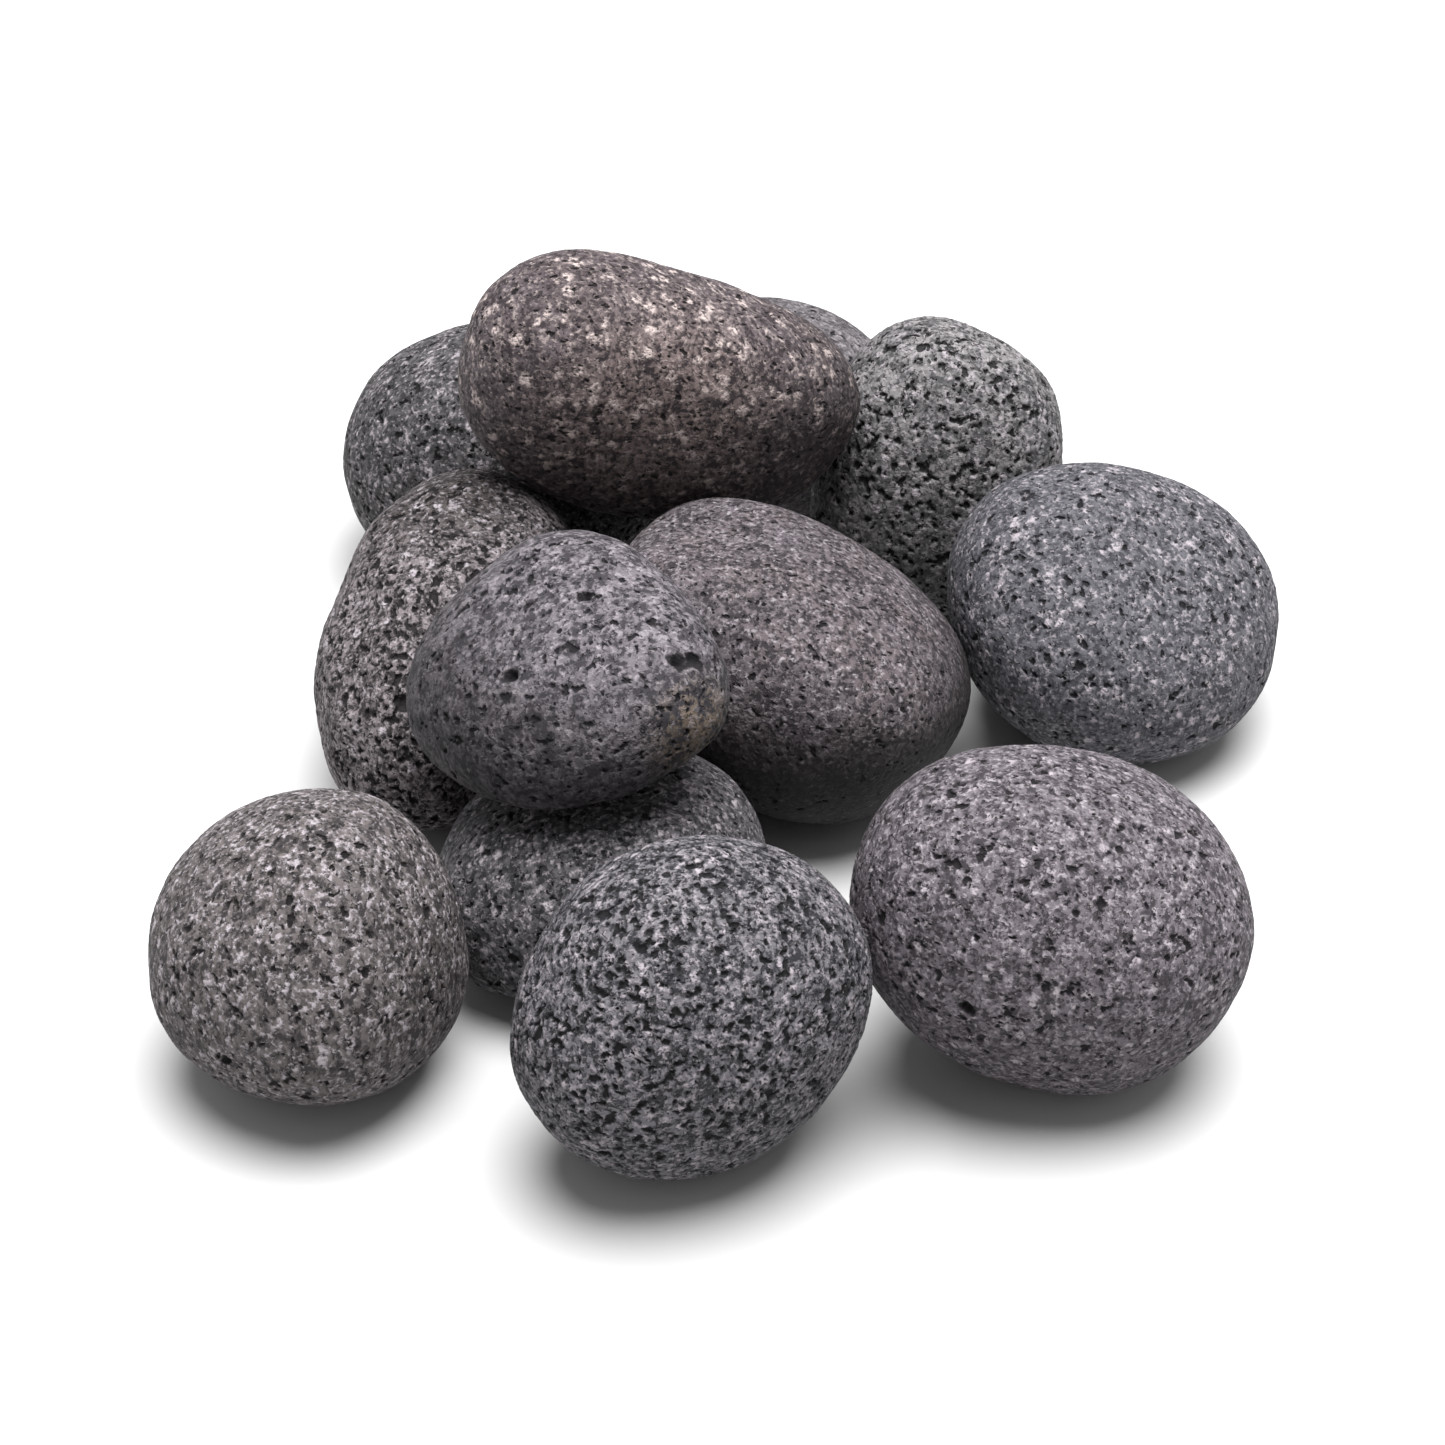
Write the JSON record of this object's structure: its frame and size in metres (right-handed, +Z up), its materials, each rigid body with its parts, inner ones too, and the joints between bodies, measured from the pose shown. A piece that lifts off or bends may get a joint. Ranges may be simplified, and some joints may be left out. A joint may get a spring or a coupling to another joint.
{
  "type": "basalt stone heap",
  "caption": "Heap of loose, tumbled, porous basalt stones, rounded to palm size for warming and massage; each stone lifts off.",
  "frame": {"origin": "on the ground under the middle of the heap's outline", "axes": "+Z up, -Y towards the front of the heap, +X to the right"},
  "size_m": [0.224, 0.2756, 0.0978],
  "materials": {
    "centre_stone": "dull, fine pale speckle",
    "right_stone": "dull, bluish, fine pale flecks",
    "back_right_stone": "dull, coarse open pores",
    "back_middle_stone": "dull, smooth",
    "under_stone": "dull, dark",
    "left_stone": "dull, pitted, worn facets",
    "back_left_stone": "dull, pale specks",
    "front_left_stone": "dull, long pale streaks",
    "front_middle_stone": "dull, crowded dark pits",
    "front_right_stone": "dull, clustered pits",
    "upper_front_stone": "dull, light, large open pores",
    "top_stone": "dull, reddish, pale flecks"
  },
  "bodies": {
    "centre_stone": {"centre_stone": "centre_stone"},
    "right_stone": {"right_stone": "right_stone"},
    "back_right_stone": {"back_right_stone": "back_right_stone"},
    "back_middle_stone": {"back_middle_stone": "back_middle_stone"},
    "under_stone": {"under_stone": "under_stone"},
    "left_stone": {"left_stone": "left_stone"},
    "back_left_stone": {"back_left_stone": "back_left_stone"},
    "front_left_stone": {"front_left_stone": "front_left_stone"},
    "front_middle_stone": {"front_middle_stone": "front_middle_stone"},
    "front_right_stone": {"front_right_stone": "front_right_stone"},
    "upper_front_stone": {"upper_front_stone": "upper_front_stone"},
    "top_stone": {"top_stone": "top_stone"}
  },
  "joints": [
    {"name": "right_lift_off", "type": "slide", "parent": "centre_stone", "child": "right_stone", "axis": [0.9254, -0.3368, 0.1736], "range_m": [0, 0.15]},
    {"name": "back_right_lift_off", "type": "slide", "parent": "centre_stone", "child": "back_right_stone", "axis": [0.5792, 0.4056, 0.7071], "range_m": [0, 0.16]},
    {"name": "back_middle_lift_off", "type": "slide", "parent": "centre_stone", "child": "back_middle_stone", "axis": [0.0858, 0.9811, 0.1736], "range_m": [0, 0.12]},
    {"name": "under_lift_off", "type": "slide", "parent": "centre_stone", "child": "under_stone", "axis": [0, 0, 1], "range_m": [0, 0.15]},
    {"name": "left_lift_off", "type": "slide", "parent": "centre_stone", "child": "left_stone", "axis": [-0.9752, -0.172, 0.1392], "range_m": [0, 0.15]},
    {"name": "back_left_lift_off", "type": "slide", "parent": "centre_stone", "child": "back_left_stone", "axis": [-0.6964, 0.6964, 0.1736], "range_m": [0, 0.15]},
    {"name": "front_left_lift_off", "type": "slide", "parent": "centre_stone", "child": "front_left_stone", "axis": [-0.8067, -0.5649, 0.1736], "range_m": [0, 0.15]},
    {"name": "front_middle_lift_off", "type": "slide", "parent": "centre_stone", "child": "front_middle_stone", "axis": [-0.0858, -0.9811, 0.1736], "range_m": [0, 0.15]},
    {"name": "front_right_lift_off", "type": "slide", "parent": "centre_stone", "child": "front_right_stone", "axis": [0.8067, -0.5649, 0.1736], "range_m": [0, 0.16]},
    {"name": "upper_front_lift_off", "type": "slide", "parent": "under_stone", "child": "upper_front_stone", "axis": [0, 0, 1], "range_m": [0, 0.1]},
    {"name": "top_lift_off", "type": "slide", "parent": "centre_stone", "child": "top_stone", "axis": [0, 0, 1], "range_m": [0, 0.15]}
  ]
}
